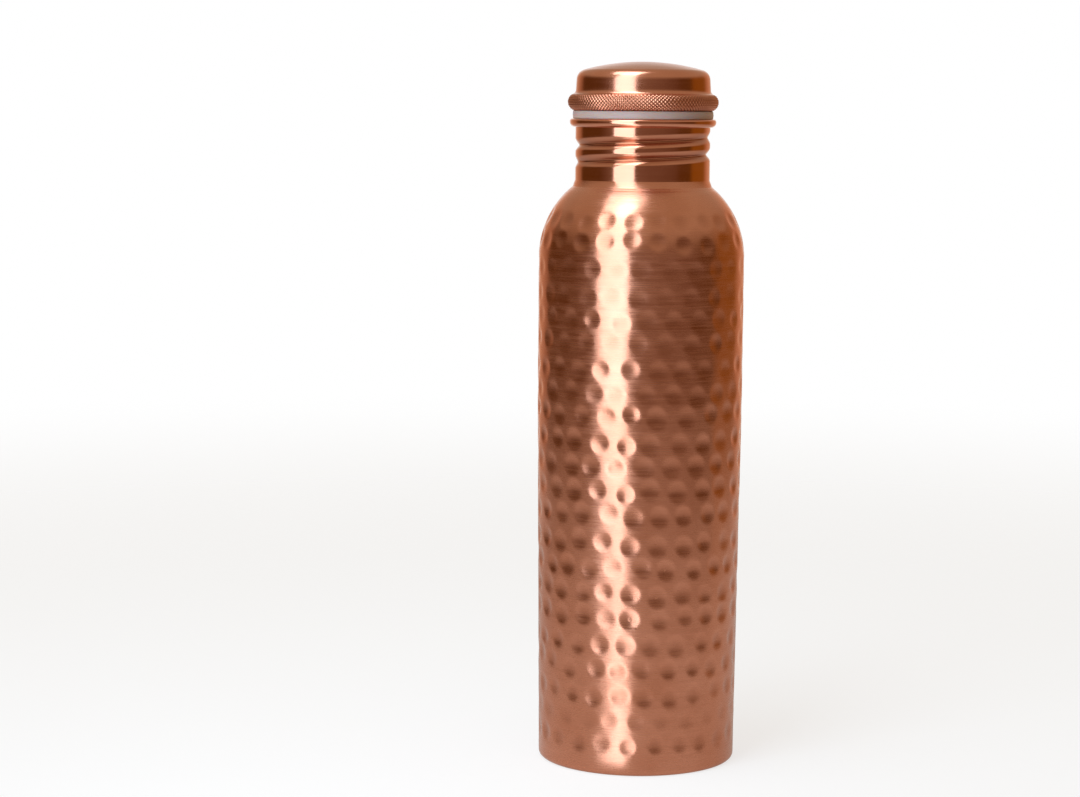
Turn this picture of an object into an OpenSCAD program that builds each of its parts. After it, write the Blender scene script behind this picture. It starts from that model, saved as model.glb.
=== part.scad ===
// Copper water bottle with a screw-in stopper cap.
// A drawn and hammered sheet-copper body with a spun-in base, a rolled thread in the neck and a
// curled lip; a domed cap with a knurled bead, a threaded plug under it and a white sealing washer.
// Millimetres, +Z up, origin at the centre of the foot, on the surface the bottle stands on.

/* [Body] */
// Widest outside diameter of the body
body_d = 78.6; // [65:0.2:96]
// Outside diameter of the body just above the bottom corner
base_d = 75.7; // [62:0.1:92]
// Height at which the body reaches its full width
taper_h = 140; // [60:1:180]
// Height at which the shoulder starts to curve in
shoulder_h = 194; // [150:1:240]
// Radius of the shoulder curve
shoulder_r = 34.8; // [28:0.2:44]
// Radius of the hollow between the shoulder and the neck
neck_fillet_r = 3.3; // [1.5:0.1:5]
// Thickness of the body's copper sheet
sheet = 0.6; // [0.4:0.05:0.9]

/* [Foot] */
// Outside radius of the bottom corner
foot_corner_r = 1.8; // [1.6:0.1:6]
// Width of the flat edge turned in under the base
foot_turn_w = 3; // [1.5:0.1:6]
// Height by which the middle of the base pan is pressed up
base_dish_h = 2.4; // [0.5:0.1:5]
// Width of the sloping ring round the pressed-up middle
base_dish_slope_w = 3; // [1.5:0.1:6]
// Width of the flat ring between the slope and the bottom corner
base_land_w = 5; // [4:0.1:10]
// Height of the base pan's upturned skirt above the bottom corner
base_skirt_h = 4; // [2:0.1:8]
// Height of the fillet of braze above the skirt's edge
base_braze_h = 1.3; // [0.6:0.1:2.5]

/* [Neck] */
// Outside diameter of the neck
neck_d = 51.4; // [42:0.2:62]
// Length of the plain neck below the thread
neck_plain_h = 2; // [1:0.1:8]
// Length of the plain neck above the thread, up to the top of the lip
neck_top_h = 2; // [1.4:0.1:6]
// Distance that the curled lip stands out from the neck
lip_out = 2.2; // [2:0.1:3.5]
// Height of the curled lip
lip_h = 3.2; // [3:0.1:5]
// Radius of the lip's two upper edges
lip_edge_r = 1; // [0.95:0.05:1.3]
// Radius of the curl under the lip
lip_curl_r = 1.9; // [1.2:0.1:2.1]

/* [Thread] */
// Rise of the thread in one turn
pitch = 6.4; // [5.2:0.1:8]
// Depth to which the thread is rolled into the neck
thread_depth = 1.5; // [1:0.05:1.8]
// Length of plain wall left between two turns of the thread
thread_land = 0.4; // [0.2:0.1:2]
// Turns of groove in the neck, with its run-outs
neck_turns = 2.1; // [1.6:0.05:3]
// Turns of the neck's groove before it crosses the +X side
neck_lead_turns = 0.8; // [0:0.05:1]
// Length of each run-out of the neck's groove, in turns
neck_run_out = 0.5; // [0.2:0.05:0.8]
// Turns of ridge on the plug, with its run-outs
plug_turns = 1.5; // [1:0.05:2]
// Length of each run-out of the plug's ridge, in turns
plug_run_out = 0.2; // [0.1:0.05:0.5]

/* [Cap] */
// Thickness of the cap's copper sheet
cap_sheet = 0.6; // [0.4:0.05:0.9]
// Height of the cap's wall above the washer, bead included
cap_wall_h = 11.7; // [10.5:0.1:18]
// Amount by which the wall leans in from bottom to top
cap_lean = 0.25; // [0:0.05:0.8]
// Height of the domed crown above the wall
crown_h = 6.9; // [5:0.1:9]
// Radius of the crown's outer edge
crown_edge_r = 4; // [1.5:0.1:4.5]
// Radius of the rolled bead
bead_r = 3.3; // [2.6:0.1:4]
// Distance that the bead stands out from the wall
bead_out = 2.9; // [2:0.1:3.5]
// Radius of the hollow above the bead
bead_cove_r = 1.5; // [0.8:0.1:2.5]
// Height of the braze inside the bead
cap_braze_h = 0.8; // [0.7:0.1:1.2]

/* [Plug] */
// Length of the plain plug above its thread, up to the top of the lip
plug_plain_h = 2.3; // [1.5:0.1:6]
// Outside radius of the plug's bottom corner
plug_corner_r = 1.6; // [1.2:0.1:3]
// Depth of the recess pressed into the plug's bottom
plug_dish_h = 1.2; // [0.4:0.1:3]
// Width of the flat ring round that recess
plug_land_w = 4; // [2:0.1:8]
// Width of the sloping ring inside that flat
plug_dish_slope_w = 1.5; // [0.8:0.1:3]
// Radius where the plug's wall turns out into its flange
plug_turn_r = 0.6; // [0.4:0.1:1.2]

/* [Washer] */
// Thickness of the sealing washer
washer_t = 3; // [1.5:0.1:5]
// Distance that the washer stands out from the neck
washer_out = 1.1; // [0.4:0.1:2]
// Radius of the washer's edges
washer_edge_r = 0.3; // [0.1:0.1:0.7]

/* [Clearances] */
// Radial gap between the plug's thread and the neck's
thread_gap = 0.5; // [0.35:0.05:0.8]
// Radial gap between the plug and the washer's bore
washer_gap = 0.3; // [0.1:0.05:0.6]
// Gap that the braze is drawn into
braze_gap = 0.05; // [0.02:0.01:0.15]

/* [Hidden] */
copper = [0.80, 0.49, 0.36];
polished_copper = [0.74, 0.41, 0.27];
braze_alloy = [0.80, 0.66, 0.46];
white_silicone = [0.88, 0.87, 0.86];
// Fragments of a turned piece
round_fn = 180;
// Straight steps in each quarter turn of a rounded profile
arc_steps = 8;
// Sides of the two threaded tubes, and the largest height of one of their rows
thread_sides = 60;
thread_row = 0.65;
// Step out from a plain wall's skins to the flats of the threaded tube that it meets
seam_step = 0.02;

body_r = body_d / 2;
base_r = base_d / 2;
neck_r = neck_d / 2;
foot_edge_r = base_r - foot_corner_r - foot_turn_w;
pan_corner_r = foot_corner_r - sheet;

// The shoulder's arc and the hollow under the neck touch at one point, on the line of their centres.
shoulder_cx = body_r - shoulder_r;
fillet_cx = neck_r + neck_fillet_r;
neck_base_z = shoulder_h
    + sqrt(pow(shoulder_r + neck_fillet_r, 2) - pow(fillet_cx - shoulder_cx, 2));
shoulder_turn = atan2(neck_base_z - shoulder_h, fillet_cx - shoulder_cx);

thread_w = pitch - thread_land;
neck_thread_z = neck_base_z + neck_plain_h;
neck_thread_len = neck_turns * pitch + thread_w;
neck_top_z = neck_thread_z + neck_thread_len;
lip_z = neck_top_z + neck_top_h;
washer_z = lip_z + washer_t;

plug_r = neck_r - sheet - thread_depth - thread_gap;
plug_thread_len = plug_turns * pitch + thread_w;
plug_thread_z = lip_z - plug_plain_h - plug_thread_len;
plug_bottom_z = plug_thread_z - plug_corner_r;
flange_z = washer_z + cap_sheet;

cap_r = neck_r;
bead_cx = cap_r + bead_out - bead_r;
bead_cz = washer_z + bead_r;
cove_cx = cap_r + bead_cove_r;
cove_cz = bead_cz + sqrt(pow(bead_r + bead_cove_r, 2) - pow(cove_cx - bead_cx, 2));
cove_turn = atan2(cove_cz - bead_cz, cove_cx - bead_cx);
crown_z = washer_z + cap_wall_h;
crown_edge_cx = cap_r - cap_lean - crown_edge_r;
crown_r = (pow(crown_edge_cx, 2) + pow(crown_h, 2) - pow(crown_edge_r, 2))
    / (2 * (crown_h - crown_edge_r));
crown_cz = crown_z + crown_h - crown_r;
crown_turn = asin(crown_edge_cx / (crown_r - crown_edge_r));

// Points along an arc from angle a to angle b.
function arc(cx, cz, r, a, b) =
    let (n = max(2, ceil(abs(b - a) / 90 * arc_steps)))
    [for (i = [0 : n]) let (t = a + (b - a) * i / n) [cx + r * cos(t), cz + r * sin(t)]];

// A profile's points in the opposite order.
function backwards(path) = [for (i = [len(path) - 1 : -1 : 0]) path[i]];

// Outside radius of the body at a height on its tapered wall.
function wall_r(z) =
    base_r + (body_r - base_r) * (z - foot_corner_r) / (taper_h - foot_corner_r);

// Smooth step from 0 at a to 1 at b.
function smooth_step(a, b, x) =
    let (u = min(1, max(0, (x - a) / (b - a)))) u * u * (3 - 2 * u);

// Share of the full thread depth at a point on a tube: a raised cosine across the thread,
// which climbs one pitch a turn from height z0 and fades out over its first and last run-outs.
// Turn 0 of the helix faces +X, and helix_z is its height there.
function thread_share(angle, z, z0, turns, run_out, helix_z) =
    let (first = (z0 - helix_z) / pitch, last = first + turns)
    max([for (lap = [floor(first) - 1 : ceil(last) + 1])
        let (turn = lap + angle / 360, dz = z - helix_z - turn * pitch)
        abs(dz) >= thread_w / 2 ? 0 :
            smooth_step(first, first + run_out, turn)
            * (1 - smooth_step(last - run_out, last, turn))
            * pow(cos(180 * dz / thread_w), 2)]);

// The plug's ridge runs midway between two turns of the neck's.
neck_helix_z = neck_thread_z + thread_w / 2 + neck_lead_turns * pitch;
plug_helix_z = neck_helix_z - pitch / 2;

// A tube of sheet with the thread rolled into it: push is how far the thread moves the wall out.
// The flats of both its skins lie a seam_step outside the round skins that they join.
module threaded_tube(r, wall, push, z0, len, turns, run_out, helix_z) {
    rows = ceil(len / thread_row);
    sides = thread_sides;
    skins = [for (skin_r = [r, r - wall]) (skin_r + seam_step) / cos(180 / sides)];
    function ring(z, skin_r) = [for (i = [0 : sides - 1])
        let (angle = 360 * i / sides,
             share = thread_share(angle, z, z0 + thread_w / 2, turns, run_out, helix_z),
             out = skin_r + push * share)
        [out * cos(angle), out * sin(angle), z]];
    function at(skin, row, i) = (skin * (rows + 1) + row) * sides + i % sides;
    points = [for (skin_r = skins) for (row = [0 : rows]) each ring(z0 + len * row / rows, skin_r)];
    outside = [for (row = [0 : rows - 1]) for (i = [0 : sides - 1])
        each [[at(0, row, i), at(0, row + 1, i), at(0, row + 1, i + 1)],
              [at(0, row, i), at(0, row + 1, i + 1), at(0, row, i + 1)]]];
    inside = [for (row = [0 : rows - 1]) for (i = [0 : sides - 1])
        each [[at(1, row, i), at(1, row + 1, i + 1), at(1, row + 1, i)],
              [at(1, row, i), at(1, row, i + 1), at(1, row + 1, i + 1)]]];
    ends = [for (i = [0 : sides - 1])
        each [[at(0, 0, i), at(0, 0, i + 1), at(1, 0, i + 1), at(1, 0, i)],
              [at(0, rows, i), at(1, rows, i), at(1, rows, i + 1), at(0, rows, i + 1)]]];
    polyhedron(points, concat(outside, inside, ends), convexity = 8);
}

// A sheet turned round Z, between the profile of one skin and that of the other.
module turned(skin, other_skin) {
    rotate_extrude($fn = round_fn) polygon(concat(skin, backwards(other_skin)));
}

// Body profile, from the turned-in foot edge up to the thread, at a depth o into the sheet.
function body_profile(o) = concat(
    [[foot_edge_r, o]],
    arc(base_r - foot_corner_r, foot_corner_r, foot_corner_r - o, -90, 0),
    [[body_r - o, taper_h]],
    arc(shoulder_cx, shoulder_h, shoulder_r - o, 0, shoulder_turn),
    arc(fillet_cx, neck_base_z, neck_fillet_r + o, shoulder_turn + 180, 180),
    [[neck_r - o, neck_thread_z]]);

// Lip profile, from the thread up, over the flat top and down round the curl's outside.
// The curl turns the neck's inner skin outwards, so depth o counts from that skin.
lip_outer_r = neck_r + lip_out;
lip_inner_r = neck_r - sheet;
function lip_profile(o) = concat(
    [[lip_inner_r + o, neck_top_z]],
    arc(lip_inner_r + lip_edge_r, lip_z - lip_edge_r, lip_edge_r - o, 180, 90),
    arc(lip_outer_r - lip_edge_r, lip_z - lip_edge_r, lip_edge_r - o, 90, 0),
    arc(lip_outer_r - lip_curl_r, lip_z - lip_h + lip_curl_r, lip_curl_r - o, 0, -90));

module bottle_shell() {
    color(copper) {
        turned(body_profile(0), body_profile(sheet));
        threaded_tube(neck_r, sheet, -thread_depth, neck_thread_z, neck_thread_len,
                      neck_turns, neck_run_out, neck_helix_z);
        turned(lip_profile(0), lip_profile(sheet));
    }
}

// Base pan profile: pressed-up middle, slope, flat land on the foot edge, corner and skirt.
pan_r = base_r - sheet - braze_gap;
pan_corner_cx = base_r - foot_corner_r - braze_gap;
pan_top_z = foot_corner_r + base_skirt_h;
pan_slope_r = pan_corner_cx - base_land_w;
function pan_profile(o) = concat(
    [[0, sheet + base_dish_h + o],
     [pan_slope_r - base_dish_slope_w, sheet + base_dish_h + o],
     [pan_slope_r, sheet + o]],
    arc(pan_corner_cx, foot_corner_r, pan_corner_r - o, -90, 0),
    [[wall_r(pan_top_z) - sheet - braze_gap - o, pan_top_z]]);

module base_pan() {
    color(copper) turned(pan_profile(0), pan_profile(sheet));
}

// Fillet of braze that closes the gap between the skirt's edge and the body's wall.
module base_braze_ring() {
    wall = wall_r(pan_top_z) - sheet;
    toe = wall - braze_gap - sheet;
    top_z = pan_top_z + base_braze_h;
    color(braze_alloy) rotate_extrude($fn = round_fn)
        polygon([[toe, pan_top_z], [wall, pan_top_z], [wall_r(top_z) - sheet, top_z]]);
}

module sealing_washer() {
    outer_r = neck_r + washer_out;
    bore_r = plug_r + washer_gap;
    e = washer_edge_r;
    color(white_silicone) rotate_extrude($fn = round_fn) polygon(concat(
        arc(outer_r - e, lip_z + e, e, -90, 0),
        arc(outer_r - e, washer_z - e, e, 0, 90),
        arc(bore_r + e, washer_z - e, e, 90, 180),
        arc(bore_r + e, lip_z + e, e, 180, 270)));
}

// Cap profile: crown, its rounded edge, leaning wall, cove, bead and the edge turned in under it.
// The bead has a point where the top of the braze meets it, so that the two fit face to face.
cap_edge_r = plug_r + plug_turn_r + 2 * braze_gap;
braze_turn = asin((flange_z + cap_braze_h - bead_cz) / (bead_r - cap_sheet));
function cap_profile(o) = concat(
    arc(0, crown_cz, crown_r - o, 90, 90 - crown_turn),
    arc(crown_edge_cx, crown_z, crown_edge_r - o, 90 - crown_turn, 0),
    arc(cove_cx, cove_cz, bead_cove_r + o, 180, 180 + cove_turn),
    arc(bead_cx, bead_cz, bead_r - o, cove_turn, braze_turn),
    arc(bead_cx, bead_cz, bead_r - o, braze_turn, -90),
    [[cap_edge_r, washer_z + o]]);

module cap_shell() {
    color(polished_copper) turned(cap_profile(0), cap_profile(cap_sheet));
}

// Plug profile below its thread: recessed bottom, flat ring and rounded corner.
plug_slope_r = plug_r - plug_corner_r - plug_land_w;
function plug_bottom_profile(o) = concat(
    [[0, plug_bottom_z + plug_dish_h + o],
     [plug_slope_r - plug_dish_slope_w, plug_bottom_z + plug_dish_h + o],
     [plug_slope_r, plug_bottom_z + o]],
    arc(plug_r - plug_corner_r, plug_thread_z, plug_corner_r - o, -90, 0));

// Plug profile above its thread: wall, turn and the flange that lies on the cap's turned-in edge.
flange_r = bead_cx - braze_gap;
function plug_top_profile(o) = concat(
    [[plug_r - o, plug_thread_z + plug_thread_len]],
    arc(plug_r + plug_turn_r, flange_z - plug_turn_r, plug_turn_r + o, 180, 90),
    [[flange_r, flange_z + o]]);

module cap_plug() {
    color(polished_copper) {
        turned(plug_bottom_profile(0), plug_bottom_profile(cap_sheet));
        threaded_tube(plug_r, cap_sheet, thread_depth, plug_thread_z, plug_thread_len,
                      plug_turns, plug_run_out, plug_helix_z);
        turned(plug_top_profile(0), plug_top_profile(cap_sheet));
    }
}

// Braze that fills the bottom of the bead round the rim of the plug's flange.
module cap_braze_ring() {
    color(braze_alloy) rotate_extrude($fn = round_fn) polygon(concat(
        [[flange_r, flange_z]],
        arc(bead_cx, bead_cz, bead_r - cap_sheet, -90, braze_turn),
        [[flange_r, flange_z + cap_braze_h]]));
}

bottle_shell();
base_pan();
base_braze_ring();
sealing_washer();
cap_shell();
cap_plug();
cap_braze_ring();
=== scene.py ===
"""A hammered copper water bottle with a screw-in stopper cap, on a pale studio floor.

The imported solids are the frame. The body, cap, plug, washer and base pan are rebuilt here as fine
grids that carry the hammer marks, the rolled threads, the knurl and the turning marks.
Lengths are in millimetres until a mesh is made. Angles run from +X towards +Y.
"""
import math

import bpy
import numpy as np
from mathutils import Matrix, Vector


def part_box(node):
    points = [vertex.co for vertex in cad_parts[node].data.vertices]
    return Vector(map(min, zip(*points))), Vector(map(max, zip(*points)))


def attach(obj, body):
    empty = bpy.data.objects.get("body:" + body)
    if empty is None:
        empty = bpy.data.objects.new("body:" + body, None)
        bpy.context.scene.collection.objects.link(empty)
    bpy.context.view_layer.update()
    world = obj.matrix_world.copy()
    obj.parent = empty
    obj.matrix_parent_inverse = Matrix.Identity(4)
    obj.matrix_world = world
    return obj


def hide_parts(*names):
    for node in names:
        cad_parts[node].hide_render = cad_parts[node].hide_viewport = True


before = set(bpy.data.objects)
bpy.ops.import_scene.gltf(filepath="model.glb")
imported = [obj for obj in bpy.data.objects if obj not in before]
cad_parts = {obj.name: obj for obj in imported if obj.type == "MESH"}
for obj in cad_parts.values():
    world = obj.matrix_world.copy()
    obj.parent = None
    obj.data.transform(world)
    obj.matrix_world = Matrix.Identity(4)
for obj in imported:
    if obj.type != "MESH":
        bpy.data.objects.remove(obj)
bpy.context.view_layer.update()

MM = 0.001


def node_size(node):
    """A node's outer radius, lowest height and highest height."""
    low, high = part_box(node)
    return high.x / MM, low.z / MM, high.z / MM


BODY_R, _, LIP_Z = node_size("bottle_shell")
WASHER_R, _, WASHER_Z = node_size("sealing_washer")
BEAD_MAX_R, _, CAP_TOP_Z = node_size("cap_shell")
_, PLUG_BOTTOM_Z, _ = node_size("cap_plug")
_, _, PAN_TOP_Z = node_size("base_pan")

# Body and foot
SHEET = 0.6
BASE_R = 37.85
TAPER_Z = 140.0
SHOULDER_Z = 194.0
SHOULDER_R = 34.8
FILLET_R = 3.3
CORNER_R = 1.8
FOOT_TURN = 3.0
HAMMERED_TOP_Z = 214.0

# Neck, lip and thread
NECK_R = 25.7
LIP_OUT = 2.2
LIP_H = 3.2
LIP_EDGE_R = 1.0
LIP_CURL_R = 1.9
PITCH = 6.4
THREAD_DEPTH = 1.5
THREAD_W = 6.0
NECK_PLAIN_H = 2.0
NECK_TOP_H = 2.0
NECK_TURNS = 2.1
NECK_LEAD = 0.8
NECK_RUN_OUT = 0.5

# Cap and plug
CAP_LEAN = 0.25
CAP_WALL_H = 11.7
CROWN_EDGE_R = 4.0
BEAD_R = 3.3
COVE_R = 1.5
PLUG_CORNER_R = 1.6
PLUG_LAND = 4.0
PLUG_SLOPE = 1.5
PLUG_DISH = 1.2
PLUG_TURN_R = 0.6
PLUG_TURNS = 1.5
PLUG_RUN_OUT = 0.2
THREAD_GAP = 0.5
WASHER_GAP = 0.3
BRAZE_GAP = 0.05

# Base pan
PAN_LAND = 5.0
PAN_SLOPE = 3.0
PAN_DISH = 2.4

SHOULDER_CX = BODY_R - SHOULDER_R
FILLET_CX = NECK_R + FILLET_R
NECK_BASE_Z = SHOULDER_Z + math.sqrt((SHOULDER_R + FILLET_R) ** 2 - (FILLET_CX - SHOULDER_CX) ** 2)
SHOULDER_TURN = math.degrees(math.atan2(NECK_BASE_Z - SHOULDER_Z, FILLET_CX - SHOULDER_CX))
NECK_THREAD_Z = NECK_BASE_Z + NECK_PLAIN_H
NECK_TOP_Z = LIP_Z - NECK_TOP_H
NECK_HELIX_Z = NECK_THREAD_Z + THREAD_W / 2 + NECK_LEAD * PITCH
PLUG_R = NECK_R - SHEET - THREAD_DEPTH - THREAD_GAP
PLUG_THREAD_Z = PLUG_BOTTOM_Z + PLUG_CORNER_R
PLUG_THREAD_TOP_Z = PLUG_THREAD_Z + PLUG_TURNS * PITCH + THREAD_W

# Hammer marks: each row's height, the angle of one of its marks from the front, and its depth
HAMMER_ROWS = (
    (12.5, -7, 0.52), (21.5, -2, 0.24), (30.5, -12, 0.52), (41, -14, 0.50), (50, -9, 0.54),
    (60.5, -5, 0.56), (69.5, -5, 0.56), (79, -15, 0.56), (88.5, -6, 0.52), (99, -5, 0.48),
    (108.5, -10, 0.48), (117.5, -14, 0.44), (126.5, -10, 0.46), (136.5, -6, 0.44), (145, -14, 0.38),
    (153.5, -8, 0.40), (164, -18, 0.38), (172.5, -14, 0.34), (181, -18, 0.30), (191.5, -16, 0.30),
    (201, -8, 0.46), (209, -8, 0.42),
)
MARKS_IN_ROW = 24
MARK_R = 4.0
MARK_WANDER = 0.55
MARK_DEPTHS = (0.8, 1.15)
MARK_RADII = (0.9, 1.06)
# How much of a hammer mark's depth paints it darker, as painted shade
MARK_SHADE = 0.7
MARK_SEED = 11
LEAST_SLOPE = 0.4

# The wall's waves: height, crests round the wall, mm of height for each radian, and start
WAVES = ((0.0144, 9, 8, 0), (0.012, 5, -11, 1), (0.0096, 13, 17, 0))
WALL_SINK = 0.02

# The neck's groove: share of the thread's width above and below its crease, and the crease's round
GROOVE_OVER = 0.45
GROOVE_UNDER = 0.40
CREASE_ROUND = 0.12
# Painted shade in the neck's groove: its share of the thread's depth, to this power, paints it darker
GROOVE_SHADE_POWER = 0.7

# Lathe grooves under the neck: how far below it, their width and depth
LATHE_GROOVES = (1.3, 2.0, 3.1)
LATHE_W = 0.25
LATHE_DEPTH = 0.05

# Knurl: diamonds round the bead, and how far its points stand out and its grooves sink
KNURL_COUNT = 120
KNURL_H = 0.2

SHARP_ANGLE = math.radians(60)


# Outlines are rows of (radius, height). They run up the outside of a sheet and down its inside.
def arc(cx, cz, r, start, end):
    """Points a degree or so apart on a circle: (cx + r cos t, cz + r sin t)."""
    t = np.radians(np.linspace(start, end, int(abs(end - start)) + 2))
    return np.stack([cx + r * np.cos(t), cz + r * np.sin(t)], axis=1)


def outline(*parts):
    """Joins points and arcs into one outline, and drops the points that repeat."""
    points = np.concatenate([np.atleast_2d(np.asarray(p, float)) for p in parts])
    apart = np.linalg.norm(np.diff(points, axis=0), axis=1) > 1e-6
    return points[np.concatenate([[True], apart])]


def distances(line):
    """How far each point of an outline lies along it from its first."""
    return np.concatenate([[0], np.cumsum(np.linalg.norm(np.diff(line, axis=0), axis=1))])


def spaced(line, step):
    """Points evenly spaced along an outline, about one step apart, from its first to its last."""
    travel = distances(line)
    at = np.linspace(0, travel[-1], max(2, round(travel[-1] / step) + 1))
    return np.stack([np.interp(at, travel, line[:, 0]), np.interp(at, travel, line[:, 1])], axis=1)


def round_angles(columns):
    """Evenly spaced angles once round, in radians."""
    return np.arange(columns) * (2 * np.pi / columns)


def turned(line, columns, push=None):
    """Rings of points from an outline turned round Z: (r cos a, r sin a, z). push moves each point
    out along the outline's normal, which is its direction of travel turned a quarter clockwise."""
    r = line[:, :1]
    z = line[:, 1:]
    if push is not None:
        travel = np.gradient(line, axis=0)
        travel /= np.linalg.norm(travel, axis=1, keepdims=True)
        r = r + push * travel[:, 1:]
        z = z - push * travel[:, :1]
    a = round_angles(columns)
    return np.stack([r * np.cos(a), r * np.sin(a), z + 0 * r * a], axis=2)


def stitch(lower, upper):
    """Triangles between two rings of point numbers, where one ring has a whole number of times as
    many points as the other. Each point of the fuller ring fans to the nearest of the other's."""
    if len(lower) < len(upper):
        return stitch(upper, lower)[:, ::-1]
    ratio = len(lower) // len(upper)
    i = np.arange(len(lower))
    ahead = (i + 1) % len(lower)
    near = (i + ratio // 2) // ratio % len(upper)
    fans = np.stack([lower[i], lower[ahead], upper[near]], axis=1)
    turn = near[ahead] != near
    bridges = np.stack([lower[ahead], upper[near[ahead]], upper[near]], axis=1)[turn]
    return np.concatenate([fans, bridges])


def make_piece(name, bands, loop, body, node, material, valleys=None):
    """A mesh from bands of rings, each ring stitched to the next. In a loop the last ring meets the
    first. Two poles that follow each other aren't stitched. Each point keeps two attributes: along
    is its distance along the outline, in mm, and valley is 0 on open sheet and 1 deep in a groove.
    valleys gives the second by the band's number."""
    rings = []
    count = 0
    for band in bands:
        rows, columns = band.shape[:2]
        rings += [count + row * columns + np.arange(columns) for row in range(rows)]
        count += rows * columns
    pairs = list(zip(rings, rings[1:] + rings[:1]))[: len(rings) if loop else -1]
    faces = np.concatenate([stitch(low, high) for low, high in pairs if len(low) + len(high) > 2])
    points = np.concatenate([band.reshape(-1, 3) for band in bands])
    radii = np.hypot(points[:, 0], points[:, 1])
    middles = np.array([[radii[ring].mean(), points[ring, 2].mean()] for ring in rings])
    travel = distances(middles)
    along = np.concatenate([np.full(len(ring), t) for ring, t in zip(rings, travel)])
    given = valleys or {}
    depths = [given.get(i, np.zeros(band.shape[:2])).ravel() for i, band in enumerate(bands)]
    valley = np.concatenate(depths)

    mesh = bpy.data.meshes.new(name)
    mesh.vertices.add(len(points))
    mesh.vertices.foreach_set("co", (points * MM).astype(np.float32).ravel())
    mesh.loops.add(faces.size)
    mesh.loops.foreach_set("vertex_index", faces.astype(np.int32).ravel())
    mesh.polygons.add(len(faces))
    mesh.polygons.foreach_set("loop_start", np.arange(0, faces.size, 3, dtype=np.int32))
    mesh.update(calc_edges=True)
    for key, values in (("along", along), ("valley", valley)):
        kept = mesh.attributes.new(key, "FLOAT", "POINT")
        kept.data.foreach_set("value", values.astype(np.float32))
    mesh.shade_smooth()
    mesh.set_sharp_from_angle(angle=SHARP_ANGLE)
    mesh.materials.append(material)
    piece = bpy.data.objects.new(name, mesh)
    bpy.context.scene.collection.objects.link(piece)
    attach(piece, body)
    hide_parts(node)
    return piece


def smooth_step(low, high, x):
    """0 below low, 1 above high, and a smooth S between them: u u (3 - 2 u)."""
    u = np.clip((x - low) / (high - low), 0, 1)
    return u * u * (3 - 2 * u)


def thread_share(line, columns, first_z, turns, run_out, helix_z, over=0.5, under=0.5, crease=False):
    """Share of the full thread depth across a helix that climbs one pitch a turn from first_z and
    fades in and out over its run-outs. Turn 0 faces +X, at helix_z. Across the helix it is a squared
    cosine of a quarter turn times f, where f is the distance over the flank's width, or in a creased
    groove (1 - f)^1.6 with the crease itself rounded off."""
    z = line[:, 1:]
    lap_part = round_angles(columns) / (2 * np.pi)
    first = (first_z - helix_z) / PITCH
    last = first + turns
    full = math.hypot(1, CREASE_ROUND) - CREASE_ROUND
    share = np.zeros((len(line), columns))
    for lap in range(math.floor(first) - 1, math.ceil(last) + 1):
        turn = lap + lap_part
        across = (z - helix_z - turn * PITCH) / THREAD_W
        flank = np.clip(np.where(across > 0, across / over, -across / under), 0, 1)
        fade = smooth_step(first, first + run_out, turn)
        fade = fade * (1 - smooth_step(last - run_out, last, turn))
        rounded = (np.hypot(flank, CREASE_ROUND) - CREASE_ROUND) / full
        shape = (1 - rounded) ** 1.6 if crease else np.cos(np.pi / 2 * flank) ** 2
        share = np.maximum(share, fade * shape)
    return share


def hammer_marks(line, columns):
    """How far hammering sinks the wall: each mark is a dish, depth (1 - q q)^1.4, where q is the
    distance from its centre over its radius. The marks stand in rows and wander a little."""
    chance = np.random.default_rng(MARK_SEED)
    z = line[:, 1:]
    a = round_angles(columns)
    step = 2 * np.pi / MARKS_IN_ROW
    sunk = np.zeros((len(line), columns))
    for height, turn, depth in HAMMER_ROWS:
        wander_a = chance.normal(0, MARK_WANDER, MARKS_IN_ROW) / BODY_R
        wander_z = chance.normal(0, MARK_WANDER, MARKS_IN_ROW)
        depths = depth * chance.uniform(*MARK_DEPTHS, MARKS_IN_ROW)
        radii = MARK_R * chance.uniform(*MARK_RADII, MARKS_IN_ROW)
        start = math.radians(turn - 90)
        mark = np.round((a - start) / step).astype(int)
        off_a = a - start - mark * step - wander_a[mark % MARKS_IN_ROW]
        off_z = (z - height - wander_z[mark % MARKS_IN_ROW]) / np.maximum(LEAST_SLOPE, slope_share(line))
        q2 = ((off_a * line[:, :1]) ** 2 + off_z**2) / radii[mark % MARKS_IN_ROW] ** 2
        sunk = np.maximum(sunk, depths[mark % MARKS_IN_ROW] * np.clip(1 - q2, 0, None) ** 1.4)
    return sunk


def slope_share(line):
    """Height gained for each unit of travel along an outline."""
    travel = np.gradient(line, axis=0)
    return (np.abs(travel[:, 1]) / np.linalg.norm(travel, axis=1))[:, None]


def wall_waves(line, columns):
    """The slight unevenness of a hand-finished wall: three crossing sine waves, 20 to 60 mm long."""
    z = line[:, 1:]
    a = round_angles(columns)
    return sum(high * np.sin(crests * a + z / rise + start) for high, crests, rise, start in WAVES)


def wall_radius(z):
    """Outside radius of the tapered wall at a height."""
    return BASE_R + (BODY_R - BASE_R) * (z - CORNER_R) / (TAPER_Z - CORNER_R)


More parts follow.
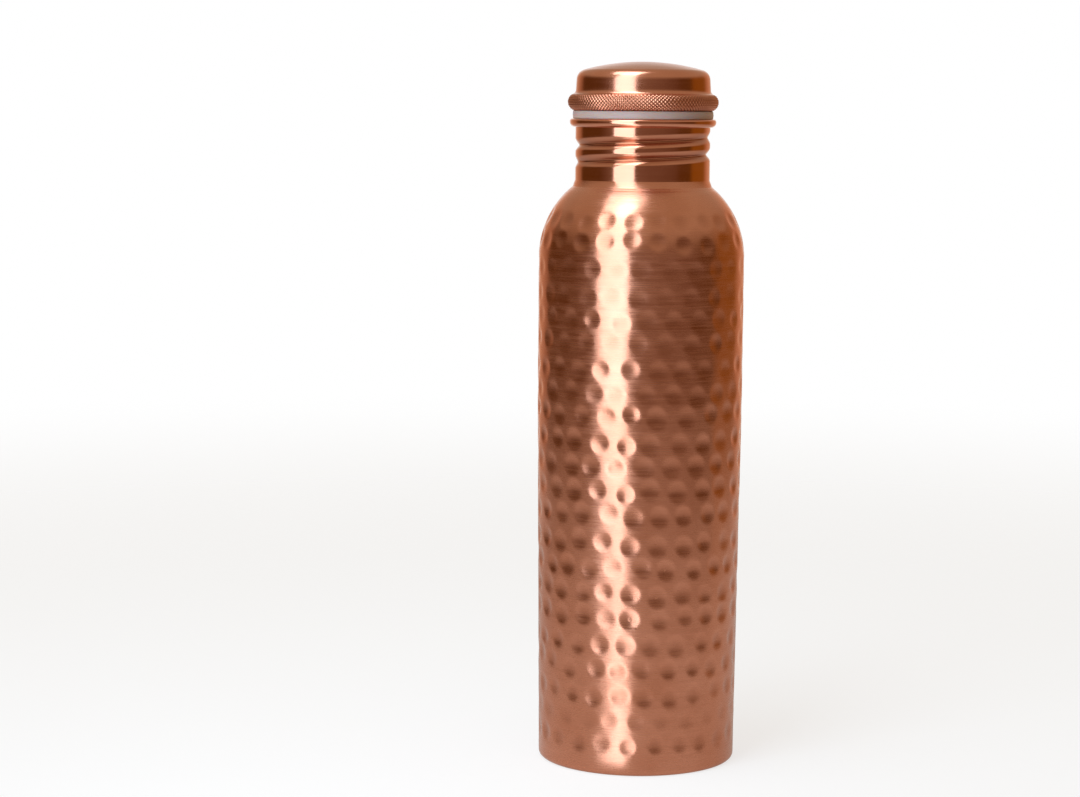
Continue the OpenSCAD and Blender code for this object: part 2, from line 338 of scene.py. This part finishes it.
def build_body(material):
    """The body's one sheet: foot, hammered wall, shoulder, threaded neck, curled lip, and back down
    the inside. The hammered wall has the finest grid and the plain inside the coarsest."""
    fine, middling, coarse = 300, 150, 75
    cut = math.degrees(math.asin((HAMMERED_TOP_Z - SHOULDER_Z) / SHOULDER_R))
    foot = outline(
        [BASE_R - CORNER_R - FOOT_TURN, 0],
        arc(BASE_R - CORNER_R, CORNER_R, CORNER_R, -90, 0),
        [wall_radius(CORNER_R + 2), CORNER_R + 2],
    )
    wall = outline(
        [wall_radius(CORNER_R + 2), CORNER_R + 2],
        [BODY_R, TAPER_Z],
        arc(SHOULDER_CX, SHOULDER_Z, SHOULDER_R, 0, cut),
    )
    shoulder = outline(
        arc(SHOULDER_CX, SHOULDER_Z, SHOULDER_R, cut, SHOULDER_TURN),
        arc(FILLET_CX, NECK_BASE_Z, FILLET_R, SHOULDER_TURN + 180, 180),
        [NECK_R, NECK_THREAD_Z],
    )
    neck = outline([NECK_R, NECK_THREAD_Z], [NECK_R, NECK_TOP_Z])
    wall_in = NECK_R - SHEET
    lip_r = NECK_R + LIP_OUT

    def lip_skin(depth):
        """The lip's skin at a depth into its sheet, from the neck over the top and round the curl."""
        return outline(
            [wall_in + depth, NECK_TOP_Z],
            arc(wall_in + LIP_EDGE_R, LIP_Z - LIP_EDGE_R, LIP_EDGE_R - depth, 180, 90),
            arc(lip_r - LIP_EDGE_R, LIP_Z - LIP_EDGE_R, LIP_EDGE_R - depth, 90, 0),
            arc(lip_r - LIP_CURL_R, LIP_Z - LIP_H + LIP_CURL_R, LIP_CURL_R - depth, 0, -90),
        )

    neck_in = outline([wall_in, NECK_TOP_Z], [wall_in, NECK_THREAD_Z])
    inside = outline(
        [wall_in, NECK_THREAD_Z],
        arc(FILLET_CX, NECK_BASE_Z, FILLET_R + SHEET, 180, SHOULDER_TURN + 180),
        arc(SHOULDER_CX, SHOULDER_Z, SHOULDER_R - SHEET, SHOULDER_TURN, 0),
        [BODY_R - SHEET, TAPER_Z],
        arc(BASE_R - CORNER_R, CORNER_R, CORNER_R - SHEET, 0, -90),
        [BASE_R - CORNER_R - FOOT_TURN, SHEET],
    )

    def lathe_rings(line):
        """Three fine grooves under the neck, each exp(-u u), where u is the height off its middle
        over its width."""
        z = line[:, 1:] + 0 * round_angles(middling)
        above = [(z - NECK_BASE_Z + down) / LATHE_W for down in LATHE_GROOVES]
        return -LATHE_DEPTH * sum(np.exp(-(u**2)) for u in above)

    def groove(line, columns):
        """Share of the thread's depth rolled into the neck."""
        return thread_share(line, columns, NECK_THREAD_Z + THREAD_W / 2, NECK_TURNS, NECK_RUN_OUT,
                            NECK_HELIX_Z, GROOVE_OVER, GROOVE_UNDER, crease=True)

    neck_line = spaced(neck, 0.33)[1:]
    neck_in_line = spaced(neck_in, 0.8)[1:]
    neck_groove = groove(neck_line, fine)

    wall_line = spaced(wall, 1.08)[1:]
    shoulder_line = spaced(shoulder, 0.34)[1:]
    fade = smooth_step(CORNER_R + 2, CORNER_R + 6, wall_line[:, 1:])
    fade = fade * (1 - smooth_step(HAMMERED_TOP_Z - 4, HAMMERED_TOP_Z, wall_line[:, 1:]))
    marks = hammer_marks(wall_line, fine)
    push = -marks - WALL_SINK * fade + fade * wall_waves(wall_line, fine)
    bands = [
        turned(spaced(foot, 0.8), middling),
        turned(wall_line, fine, np.minimum(push, 0)),
        turned(shoulder_line, middling, lathe_rings(shoulder_line)),
        turned(neck_line, fine, -THREAD_DEPTH * neck_groove),
        turned(spaced(lip_skin(SHEET), 0.6)[1:], middling),
        turned(spaced(lip_skin(0)[::-1], 0.3), middling),
        turned(neck_in_line, middling, THREAD_DEPTH * groove(neck_in_line, middling)),
        turned(spaced(inside, 6)[1:], coarse),
    ]
    # Painted shade: the hammer marks and the neck's groove are painted darker by their depth
    valleys = {1: marks * MARK_SHADE, 3: neck_groove**GROOVE_SHADE_POWER}
    return make_piece("hammered_body", bands, True, "bottle", "bottle_shell",
                      material, valleys)


def build_washer(material):
    """The sealing washer: a moulded ring whose outer wall bows out a little where it is squeezed."""
    bore = PLUG_R + WASHER_GAP
    edge = 0.3
    bow = 0.12
    mid = (LIP_Z + WASHER_Z) / 2
    line = outline(
        arc(bore + edge, LIP_Z + edge, edge, 180, 270),
        arc(WASHER_R - bow - edge, LIP_Z + edge, edge, -90, 0),
        [WASHER_R, mid],
        arc(WASHER_R - bow - edge, WASHER_Z - edge, edge, 0, 90),
        arc(bore + edge, WASHER_Z - edge, edge, 90, 180),
    )
    return make_piece("silicone_washer", [turned(spaced(line, 0.14), 192)], True, "washer",
                      "sealing_washer", material)


def knurl(line, columns):
    """A rolled diamond knurl, -1 on its points and 1 in its grooves: two sets of V grooves cross,
    each a triangle wave of the angle plus or minus the distance along the bead. Its diamonds are
    1.4 mm, drawn coarser than the real 0.95 mm so that they show from a metre off."""
    travel = distances(line)[:, None]
    turns = round_angles(columns) / (2 * np.pi) * KNURL_COUNT
    lean = KNURL_COUNT / (2 * np.pi * BEAD_MAX_R)
    left = np.abs((turns + travel * lean) % 1 - 0.5) * 2
    right = np.abs((turns - travel * lean) % 1 - 0.5) * 2
    fade_in = smooth_step(0, 0.8, travel)
    fade_out = 1 - smooth_step(travel[-1] - 1.2, travel[-1] - 0.2, travel)
    return fade_in * fade_out * (2 * np.maximum(left, right) - 1)


def build_cap(material):
    """The cap's spun shell: crown, wall, cove, knurled bead and the edge crimped in under the plug."""
    fine, middling = 1056, 176
    bead_cx = BEAD_MAX_R - BEAD_R
    bead_cz = WASHER_Z + BEAD_R
    cove_cx = NECK_R + COVE_R
    cove_cz = bead_cz + math.sqrt((BEAD_R + COVE_R) ** 2 - (cove_cx - bead_cx) ** 2)
    cove_turn = math.degrees(math.atan2(cove_cz - bead_cz, cove_cx - bead_cx))
    crown_z = WASHER_Z + CAP_WALL_H
    crown_h = CAP_TOP_Z - crown_z
    edge_cx = NECK_R - CAP_LEAN - CROWN_EDGE_R
    crown_r = (edge_cx**2 + crown_h**2 - CROWN_EDGE_R**2) / (2 * (crown_h - CROWN_EDGE_R))
    crown_turn = math.degrees(math.asin(edge_cx / (crown_r - CROWN_EDGE_R)))
    crimp_r = PLUG_R + PLUG_TURN_R + 2 * BRAZE_GAP

    def top_skin(depth):
        """Crown, rounded edge, wall and cove at a depth into the sheet, from the cove up."""
        return outline(
            arc(cove_cx, cove_cz, COVE_R + depth, 180 + cove_turn, 180),
            arc(edge_cx, crown_z, CROWN_EDGE_R - depth, 0, 90 - crown_turn),
            arc(0, CAP_TOP_Z - crown_r, crown_r - depth, 90 - crown_turn, 90),
        )

    def bead_skin(depth):
        """The bead's skin at a depth into the sheet, from underneath up to the cove."""
        return arc(bead_cx, bead_cz, BEAD_R - depth, -90, cove_turn)

    under = outline([crimp_r, WASHER_Z], [bead_cx, WASHER_Z])
    bead = spaced(bead_skin(0), 0.17)
    diamonds = knurl(bead[1:], fine)
    top = spaced(top_skin(0), 0.8)[1:]
    top_in = spaced(top_skin(SHEET)[::-1], 1.5)
    bead_in = spaced(bead_skin(SHEET)[::-1], 0.8)[1:]
    under_in = outline([bead_cx, WASHER_Z + SHEET], [crimp_r, WASHER_Z + SHEET])
    bands = [
        turned(spaced(under, 0.8), middling),
        turned(bead[1:], fine, -KNURL_H * diamonds),
        turned(top[:-1], middling),
        turned(top[-1:], 1),
        turned(top_in[:1], 1),
        turned(top_in[1:], middling),
        turned(bead_in, middling),
        turned(spaced(under_in, 0.8)[1:], middling),
    ]
    # Painted shade: the knurl's grooves are painted darker than its points
    return make_piece("knurled_cap", bands, True, "cap", "cap_shell", material,
                      {1: np.clip(diamonds, 0, 1)})


def build_plug(material):
    """The plug: a spun cup with a rolled ridge, open at the top, where its flange turns out."""
    columns = 180
    blend = 0.8
    slope_r = PLUG_R - PLUG_CORNER_R - PLUG_LAND
    dish_z = PLUG_BOTTOM_Z + PLUG_DISH
    flange_z = WASHER_Z + SHEET
    flange_r = BEAD_MAX_R - BEAD_R - BRAZE_GAP

    def lower_skin(depth):
        """Recessed bottom, slope, flat ring and corner at a depth into the sheet."""
        return outline(
            [0, dish_z + depth],
            arc(slope_r - PLUG_SLOPE - blend, dish_z - blend + depth, blend, 90, 50),
            arc(slope_r + 0.5, PLUG_BOTTOM_Z + blend + depth, blend, 230, 270),
            arc(PLUG_R - PLUG_CORNER_R, PLUG_THREAD_Z, PLUG_CORNER_R - depth, -90, 0),
        )

    def upper_skin(depth):
        """Plain wall above the thread, and the turn out into the flange."""
        return outline(
            [PLUG_R - depth, PLUG_THREAD_TOP_Z],
            arc(PLUG_R + PLUG_TURN_R, flange_z - PLUG_TURN_R, PLUG_TURN_R + depth, 180, 90),
            [flange_r, flange_z + depth],
        )

    def threaded(line):
        """The wall's rings with the ridge rolled out: both skins move away from the axis."""
        share = thread_share(line, columns, PLUG_THREAD_Z + THREAD_W / 2, PLUG_TURNS, PLUG_RUN_OUT,
                             NECK_HELIX_Z - PITCH / 2)
        way = np.sign(line[-1, 1] - line[0, 1])
        return turned(line, columns, way * THREAD_DEPTH * share)

    low = spaced(lower_skin(0), 0.45)
    low_in = spaced(lower_skin(SHEET)[::-1], 1.2)
    inner_r = PLUG_R - SHEET
    bands = [
        turned(low[:1], 1),
        turned(low[1:], columns),
        threaded(spaced(outline([PLUG_R, PLUG_THREAD_Z], [PLUG_R, PLUG_THREAD_TOP_Z]), 0.4)[1:]),
        turned(spaced(upper_skin(0), 0.3)[1:], columns),
        turned(spaced(upper_skin(SHEET)[::-1], 0.5), columns),
        threaded(spaced(outline([inner_r, PLUG_THREAD_TOP_Z], [inner_r, PLUG_THREAD_Z]), 0.8)[1:]),
        turned(low_in[1:-1], columns),
        turned(low_in[-1:], 1),
    ]
    return make_piece("threaded_plug", bands, False, "cap", "cap_plug", material)


def build_pan(material):
    """The base pan: a spun dish with a pressed-up middle and an upturned skirt. The turning rings in
    its middle are the depth of a sine wave of the radius, which fades out before the slope."""
    columns = 200
    ring_step = 2.1
    ring_depth = 0.035
    corner_cx = BASE_R - CORNER_R - BRAZE_GAP
    slope_r = corner_cx - PAN_LAND
    top_r = wall_radius(PAN_TOP_Z) - SHEET - BRAZE_GAP
    blend = 1.6

    def skin(depth):
        """The pan's skin at a depth into its sheet, from the middle out and up the skirt."""
        return outline(
            [0, SHEET + PAN_DISH + depth],
            arc(slope_r - PAN_SLOPE - 0.4, SHEET + PAN_DISH - blend + depth, blend, 90, 51),
            arc(slope_r + 0.6, SHEET + blend + depth, blend, 231, 270),
            arc(corner_cx, CORNER_R, CORNER_R - SHEET - depth, -90, 0),
            [top_r - depth, PAN_TOP_Z],
        )

    low = spaced(skin(0), 0.35)
    r = low[:, :1]
    rings = ring_depth * np.sin(2 * np.pi * r / ring_step) * (1 - smooth_step(slope_r - 6, slope_r - 3, r))
    low_in = spaced(skin(SHEET)[::-1], 1.2)
    bands = [
        turned(low[:1], 1),
        turned(low, columns, -np.abs(rings))[1:],
        turned(low_in[:-1], columns),
        turned(low_in[-1:], 1),
    ]
    return make_piece("spun_base_pan", bands, False, "bottle", "base_pan", material)


def linear(hex_colour):
    """An sRGB hex colour as linear red, green, blue and alpha 1."""
    parts = [int(hex_colour[i : i + 2], 16) / 255 for i in (1, 3, 5)]
    return (*[c / 12.92 if c <= 0.04045 else ((c + 0.055) / 1.055) ** 2.4 for c in parts], 1)


def add(tree, kind, inputs=None, stops=None, **settings):
    """Adds a node: settings are its properties, inputs are values or the sockets to link from, and
    stops are a colour ramp's places and colours."""
    node = tree.nodes.new("ShaderNode" + kind)
    for key, value in settings.items():
        setattr(node, key, value)
    for key, value in (inputs or {}).items():
        if isinstance(value, bpy.types.NodeSocket):
            tree.links.new(value, node.inputs[key])
        else:
            node.inputs[key].default_value = value
    if stops:
        ramp = node.color_ramp
        while len(ramp.elements) < len(stops):
            ramp.elements.new(0.5)
        for element, (place, colour) in zip(ramp.elements, stops):
            element.position = place
            element.color = colour
    return node


def blend_colours(tree, share, first, second):
    """The socket of a colour that goes from the first to the second as share goes from 0 to 1."""
    return add(tree, "Mix", {"Factor": share, 6: first, 7: second}, data_type="RGBA").outputs[2]


def new_material(name):
    """An empty node material: the material, its tree and its output."""
    material = bpy.data.materials.new(name)
    material.use_nodes = True
    tree = material.node_tree
    tree.nodes.clear()
    return material, tree, add(tree, "OutputMaterial")


# Painted shade: a darker brown painted into the hollows (the neck's groove, the knurl's grooves and the
# hammer marks) by the valley attribute, up to this share
HOLLOW_SHADE = "#8A4A2C"
HOLLOW_SHADE_SHARE = 0.75
LINE_LENGTH = 14
BAND_WIDTH = 4
BAND_LENGTH = 30
PATCH = 22
POLISHED_SHARE = 0.6
NO_POLISH = 1000


def sheet_copper(name, colour, dull, roughness, spread, line_mm, line_depth, anisotropy,
                 polish_z=NO_POLISH):
    """Worked sheet copper. Abrasive turned round the axis leaves fine lines round the piece, line_mm
    apart and line_depth deep, which stretch a highlight along the outline. Handling leaves faint
    warmer and duller patches. The hollows that the valley attribute marks get painted shade, a darker
    brown. Above polish_z the sheet is polished smoother. Sizes are in mm. The lines are drawn coarser
    than the real grit's 0.1 mm, to show."""
    material, tree, output = new_material(name)
    place = add(tree, "TexCoord").outputs["Object"]
    xyz = add(tree, "SeparateXYZ", {0: place}).outputs
    along = add(tree, "Attribute", attribute_name="along").outputs["Fac"]

    def lines(period_mm, length_mm):
        """Noise that runs round the piece: period_mm across the lines and length_mm along them."""
        x = add(tree, "Math", {0: xyz[0], 1: 1 / (length_mm * MM)}, operation="MULTIPLY").outputs[0]
        y = add(tree, "Math", {0: xyz[1], 1: 1 / (length_mm * MM)}, operation="MULTIPLY").outputs[0]
        s = add(tree, "Math", {0: along, 1: 1 / period_mm}, operation="MULTIPLY").outputs[0]
        at = add(tree, "CombineXYZ", {0: x, 1: y, 2: s}).outputs[0]
        noise = add(tree, "TexNoise", {"Vector": at, "Scale": 1, "Detail": 2, "Roughness": 0.6})
        return noise.outputs[0]

    fine = lines(line_mm, LINE_LENGTH)
    broad = lines(line_mm * BAND_WIDTH, BAND_LENGTH)
    patches = add(tree, "TexNoise", {"Vector": place, "Scale": 1 / (PATCH * MM), "Detail": 3}).outputs[0]
    tone = add(tree, "MapRange", {"Value": patches, "From Min": 0.35, "From Max": 0.7}).outputs[0]
    clean = blend_colours(tree, tone, linear(colour), linear(dull))
    valley = add(tree, "Attribute", attribute_name="valley").outputs["Fac"]
    # Painted shade: the valley attribute paints the darker brown into the hollows
    painted_shade = add(tree, "Math", {0: valley, 1: HOLLOW_SHADE_SHARE}, operation="MULTIPLY").outputs[0]
    sheet_colour = blend_colours(tree, painted_shade, clean, linear(HOLLOW_SHADE))
    mixed = add(tree, "Math", {0: fine, 1: broad}, operation="ADD").outputs[0]
    brushed = add(tree, "MapRange", {
        "Value": mixed, "From Min": 0.7, "From Max": 1.3,
        "To Min": roughness - spread, "To Max": roughness + spread}).outputs[0]
    polish = add(tree, "MapRange", {
        "Value": xyz[2], "From Min": (polish_z - 1) * MM, "From Max": (polish_z + 1) * MM,
        "To Min": 1.0, "To Max": POLISHED_SHARE}).outputs[0]
    rough = add(tree, "Math", {0: brushed, 1: polish}, operation="MULTIPLY").outputs[0]
    bump = add(tree, "Bump", {"Height": mixed, "Strength": 1.0, "Distance": line_depth * MM}).outputs[0]
    tangent = add(tree, "Tangent", direction_type="RADIAL", axis="Z").outputs[0]
    shader = add(tree, "BsdfPrincipled", {
        "Base Color": sheet_colour, "Metallic": 1.0, "Roughness": rough, "Normal": bump,
        "Tangent": tangent, "Anisotropic": anisotropy, "Anisotropic Rotation": 0.25})
    tree.links.new(shader.outputs[0], output.inputs["Surface"])
    return material


def hammered_copper():
    """Drawn copper sheet, hammered, then brushed round the body, and polished on the neck: a satin
    gloss that runs up and down the wall and breaks at every mark."""
    return sheet_copper("hammered_brushed_copper", "#DE9779", "#D28A6B", roughness=0.26, spread=0.06,
                        line_mm=0.5, line_depth=0.004, anisotropy=0.7, polish_z=NECK_BASE_Z)


def polished_copper():
    """Spun copper, satin polished on the lathe: brighter and clearer than the brushed wall."""
    return sheet_copper("satin_spun_copper", "#DC9577", "#CE8667", roughness=0.21, spread=0.04,
                        line_mm=0.4, line_depth=0.002, anisotropy=0.4)


def plain_copper():
    """Spun copper as it leaves the lathe, with no polish: a duller, softer gloss."""
    return sheet_copper("plain_spun_copper", "#D69273", "#C67F60", roughness=0.34, spread=0.06,
                        line_mm=0.6, line_depth=0.004, anisotropy=0.4)


def braze_alloy():
    """Braze as it froze: paler than copper, with a soft ripple."""
    material, tree, output = new_material("frozen_braze")
    place = add(tree, "TexCoord").outputs["Object"]
    ripple = add(tree, "TexNoise", {"Vector": place, "Scale": 1 / (3 * MM), "Detail": 2}).outputs[0]
    colour = blend_colours(tree, ripple, linear("#D9BE8C"), linear("#C79F6C"))
    bump = add(tree, "Bump", {"Height": ripple, "Distance": 0.05 * MM}).outputs[0]
    shader = add(tree, "BsdfPrincipled", {
        "Base Color": colour, "Metallic": 1.0, "Roughness": 0.38, "Normal": bump})
    tree.links.new(shader.outputs[0], output.inputs["Surface"])
    return material


def white_silicone():
    """Moulded silicone rubber: milky, soft-edged, lightly glossy. Its white is painted darker as
    painted shade, and warmer as a painted reflection of the copper round it.
    """
    material, tree, output = new_material("milky_silicone")
    place = add(tree, "TexCoord").outputs["Object"]
    cloud = add(tree, "TexNoise", {"Vector": place, "Scale": 1 / (9 * MM), "Detail": 2}).outputs[0]
    # Painted shade and painted copper reflection: both colours are a darkened, warmed white
    colour = blend_colours(tree, cloud, linear("#BEA79C"), linear("#B49C93"))
    grain = add(tree, "TexNoise", {"Vector": place, "Scale": 1 / (0.5 * MM)}).outputs[0]
    bump = add(tree, "Bump", {"Height": grain, "Distance": 0.01 * MM}).outputs[0]
    shader = add(tree, "BsdfPrincipled", {
        "Base Color": colour, "Roughness": 0.38, "IOR": 1.41, "Subsurface Weight": 0.6,
        "Subsurface Scale": 2 * MM, "Normal": bump})
    tree.links.new(shader.outputs[0], output.inputs["Surface"])
    return material


WHITE = (1, 1, 1, 1)
WARM_WHITE = (1, 0.92, 0.85, 1)
GLOW = 0.35
GLOW_WHEN_SEEN = 0.36


def build_floor():
    """A pale round floor that glows a little from below, more where it is looked at than where it
    is mirrored, and fades out at its rim into the white backdrop. Its rings are circles
    r = (i / n)^2 R. It isn't seen from underneath."""
    material, tree, output = new_material("pale_floor")
    place = add(tree, "TexCoord").outputs["Object"]
    far = add(tree, "VectorMath", {0: place}, operation="LENGTH").outputs["Value"]
    fade = add(tree, "MapRange", {"Value": far, "From Min": 0.30, "From Max": 1.3},
               interpolation_type="SMOOTHSTEP").outputs[0]
    under = add(tree, "NewGeometry").outputs["Backfacing"]
    clear = add(tree, "Math", {0: fade, 1: under}, operation="MAXIMUM").outputs[0]
    seen = add(tree, "LightPath").outputs["Is Camera Ray"]
    strength = add(tree, "Math", {0: seen, 1: GLOW_WHEN_SEEN, 2: GLOW}, operation="MULTIPLY_ADD").outputs[0]
    matt = add(tree, "BsdfDiffuse", {"Color": (0.29, 0.28, 0.27, 1)}).outputs[0]
    tint = blend_colours(tree, seen, WARM_WHITE, WHITE)
    glow = add(tree, "Emission", {"Color": tint, "Strength": strength}).outputs[0]
    lit = add(tree, "AddShader", {0: matt, 1: glow}).outputs[0]
    gone = add(tree, "BsdfTransparent").outputs[0]
    mixed = add(tree, "MixShader", {0: clear, 1: lit, 2: gone}).outputs[0]
    tree.links.new(mixed, output.inputs["Surface"])

    radius, rows, columns = 1.4, 24, 96
    r = (np.arange(1, rows + 1) / rows)[:, None] ** 2 * radius
    a = round_angles(columns)
    ring_points = np.stack([r * np.cos(a), r * np.sin(a), 0 * r * a], axis=2).reshape(-1, 3)
    points = np.concatenate([[[0, 0, 0]], ring_points])
    ids = 1 + np.arange(rows * columns).reshape(rows, columns)
    faces = [stitch(ids[i + 1], ids[i]) for i in range(rows - 1)] + [stitch(ids[0], np.array([0]))]
    mesh = bpy.data.meshes.new("floor")
    mesh.from_pydata(points.tolist(), [], np.concatenate(faces).tolist())
    mesh.materials.append(material)
    floor = bpy.data.objects.new("floor", mesh)
    bpy.context.scene.collection.objects.link(floor)


# The studio as a bottle sees it, all round at eye height. Angle 0 is towards the camera and 90 is to
# its right: dark flats in front and to the left, warm wooden flats and a white sweep behind.
FLATS = (
    (-180, (1.0, 1.0, 1.0)), (-168, (0.95, 0.9, 0.85)), (-160, (0.75, 0.45, 0.28)),
    (-135, (0.42, 0.24, 0.14)), (-125, (0.12, 0.055, 0.012)), (-80, (0.12, 0.055, 0.012)),
    (-70, (0.15, 0.08, 0.04)), (-55, (0.22, 0.15, 0.10)), (0, (0.22, 0.15, 0.11)),
    (25, (0.20, 0.13, 0.09)), (55, (0.16, 0.09, 0.05)), (65, (0.13, 0.06, 0.015)),
    (85, (0.13, 0.06, 0.01)), (95, (0.29, 0.136, 0.012)), (125, (0.30, 0.14, 0.02)),
    (140, (0.6, 0.33, 0.19)), (160, (0.75, 0.45, 0.28)), (168, (0.95, 0.9, 0.85)),
    (180, (1.0, 1.0, 1.0)),
)
CEILING = (0.50, 0.43, 0.33, 1)


def build_studio():
    """The world: the studio's flats by their angle round the bottle, a paler ceiling that comes in
    over a smooth step of the height of the ray, and plain white where the camera looks at it."""
    world = bpy.data.worlds.new("studio")
    bpy.context.scene.world = world
    world.use_nodes = True
    tree = world.node_tree
    tree.nodes.clear()
    way = add(tree, "TexCoord").outputs["Generated"]
    xyz = add(tree, "SeparateXYZ", {0: way}).outputs
    back = add(tree, "Math", {0: xyz[1], 1: -1}, operation="MULTIPLY").outputs[0]
    angle = add(tree, "Math", {0: xyz[0], 1: back}, operation="ARCTAN2").outputs[0]
    part = add(tree, "MapRange", {"Value": angle, "From Min": -math.pi, "From Max": math.pi}).outputs[0]
    stops = [((a + 180) / 360, (*colour, 1)) for a, colour in FLATS]
    flats = add(tree, "ValToRGB", {0: part}, stops=stops).outputs[0]
    ceiling = add(tree, "MapRange", {"Value": xyz[2], "From Min": 0.15, "From Max": 0.5},
                  interpolation_type="SMOOTHSTEP").outputs[0]
    room = blend_colours(tree, ceiling, flats, CEILING)
    camera_ray = add(tree, "LightPath").outputs["Is Camera Ray"]
    shown = blend_colours(tree, camera_ray, room, WHITE)
    sky = add(tree, "Background", {"Color": shown}).outputs[0]
    tree.links.new(sky, add(tree, "OutputWorld").inputs["Surface"])


COOL_WHITE = (0.62, 0.80, 1.0)


def build_light(name, place, facing, width, height, radiance):
    """A flat soft light at a place in mm, facing along a direction, with the radiance of its blue
    channel. A flat light of area A gives off pi A times its radiance. The camera doesn't see it."""
    light = bpy.data.lights.new(name, "AREA")
    light.shape = "RECTANGLE"
    light.size = width * MM
    light.size_y = height * MM
    light.color = COOL_WHITE
    light.energy = radiance * math.pi * light.size * light.size_y
    lamp = bpy.data.objects.new(name, light)
    bpy.context.scene.collection.objects.link(lamp)
    turn = facing.to_track_quat("-Z", "Y").to_matrix().to_4x4()
    lamp.matrix_world = Matrix.Translation(place * MM) @ turn
    lamp.visible_camera = False


# The softbox: the turn of its middle round the bottle, in degrees, its distance and its radiance
SOFTBOX_TURN = -31
SOFTBOX_OFF = 350
SOFTBOX_RADIANCE = 3.8
# Its strips: lowest and highest edge, how far to the right, width
STRIPS = ((50, 95, 18, 172), (95, 140, 0, 192), (140, 1702, -12, 222))
# Flat lights just over the floor, which stand in for its image there: nearest and farthest edge, how
# far to the right, width, radiance
SHEENS = (
    (46, 90, 18, 22, 3.0), (90, 150, 29, 42, 2.9), (150, 340, 41, 84, 2.6), (340, 520, 48, 150, 3.9),
)
SHEEN_Z = 2
# The softbox overhead: how far away, to the right and up, its side, its radiance, and what it faces
OVERHEAD = (250, -95, 850)
OVERHEAD_SIDE = 420
OVERHEAD_RADIANCE = 4.2
OVERHEAD_AIM_Z = 210


def build_lights():
    """A tall narrow softbox in front and to the left makes the upright streak down the body. Its
    foot bends to the right and is clear of the floor. Flat lights just over the floor stand in for
    its image there, which a plain pale floor doesn't show, and carry the streak down to the foot. A
    second softbox overhead carries it up over the shoulder."""
    turn = math.radians(SOFTBOX_TURN)
    away = Vector((math.sin(turn), -math.cos(turn), 0))
    right = Vector((math.cos(turn), math.sin(turn), 0))
    up = Vector((0, 0, 1))
    for low, high, aside, width in STRIPS:
        middle = away * SOFTBOX_OFF + right * aside + up * (low + high) / 2
        build_light(f"softbox_{low}", middle, -away, width, high - low, SOFTBOX_RADIANCE)
    for near, far, aside, width, radiance in SHEENS:
        middle = away * (near + far) / 2 + right * aside + up * SHEEN_Z
        build_light(f"sheen_{near}", middle, up, width, far - near, radiance)
    off, aside, high = OVERHEAD
    facing = -away * off - up * (high - OVERHEAD_AIM_Z)
    build_light("overhead", away * off + right * aside + up * high, facing, OVERHEAD_SIDE,
                OVERHEAD_SIDE, OVERHEAD_RADIANCE)


def build_camera():
    """The camera stands about a metre off at the height of the cap, looks slightly down, and leans
    by half a degree, with the bottle a little to the right of the middle."""
    camera = bpy.data.cameras.new("camera")
    camera.lens = 89.3
    camera.sensor_width = 36
    seat = bpy.data.objects.new("camera", camera)
    bpy.context.scene.collection.objects.link(seat)
    aside, off, height, down, lean = -38.4, 1025.8, 254.2, 6.4, 0.45
    look = Vector((0, math.cos(math.radians(down)), -math.sin(math.radians(down))))
    turn = look.to_track_quat("-Z", "Y").to_matrix().to_4x4() @ Matrix.Rotation(math.radians(lean), 4, "Z")
    seat.matrix_world = Matrix.Translation(Vector((aside, -off, height)) * MM) @ turn
    bpy.context.scene.camera = seat


build_camera()
build_studio()
build_floor()
build_lights()
spun = polished_copper()
build_body(hammered_copper())
build_cap(spun)
build_plug(spun)
build_washer(white_silicone())
build_pan(plain_copper())
braze = braze_alloy()
for node in ("base_braze_ring", "cap_braze_ring"):
    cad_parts[node].data.materials.clear()
    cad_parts[node].data.materials.append(braze)

bpy.context.scene.view_settings.view_transform = "Standard"
